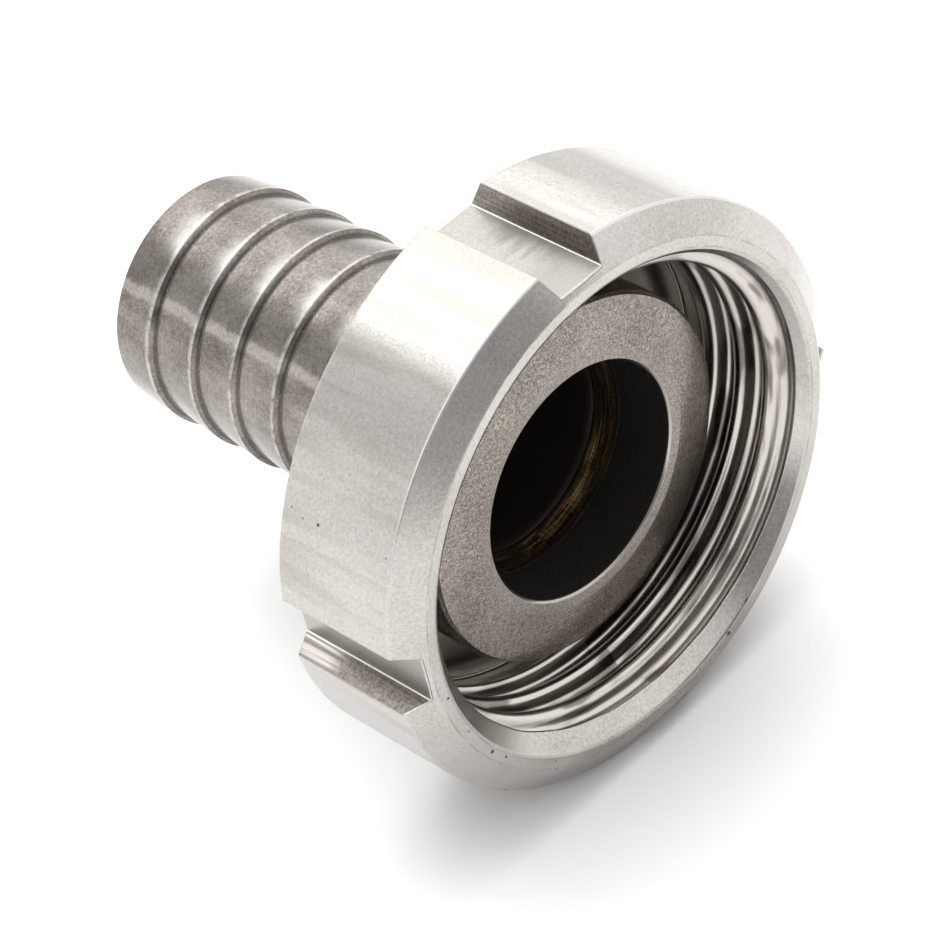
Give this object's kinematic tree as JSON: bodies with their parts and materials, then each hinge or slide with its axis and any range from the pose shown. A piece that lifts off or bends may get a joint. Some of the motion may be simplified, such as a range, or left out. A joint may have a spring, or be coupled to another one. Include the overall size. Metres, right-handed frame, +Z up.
{
  "type": "hose barb tail",
  "caption": "Ribbed hose tail welded into a collar, with a loose slotted round union nut that has a coarse round internal thread.",
  "frame": {"origin": "centre of the bounding box at its base, where the two edges of the nut's lowest slot meet the floor", "axes": "+Z up; +Y along the common axis toward the end of the hose tail; the nut's open mouth faces -Y"},
  "size_m": [0.0694, 0.0684, 0.0695],
  "materials": {
    "nut_steel": "satin turned stainless steel, bright rim, dark turned thread",
    "collar_steel": "finely blasted stainless steel, warm grey",
    "tail_steel": "satin drawn and turned stainless steel tube",
    "weld": "weld bead with straw and brown heat tint"
  },
  "bodies": {
    "nut": {"union_nut": "nut_steel"},
    "tail": {"liner_collar": "collar_steel", "hose_tail": "tail_steel", "weld_bead": "weld"}
  },
  "joints": [
    {"name": "nut_spin", "type": "hinge", "parent": "tail", "child": "nut", "pos_m": [0, -0.02055, 0.03475], "axis": [0, -1, 0], "continuous": true}
  ]
}
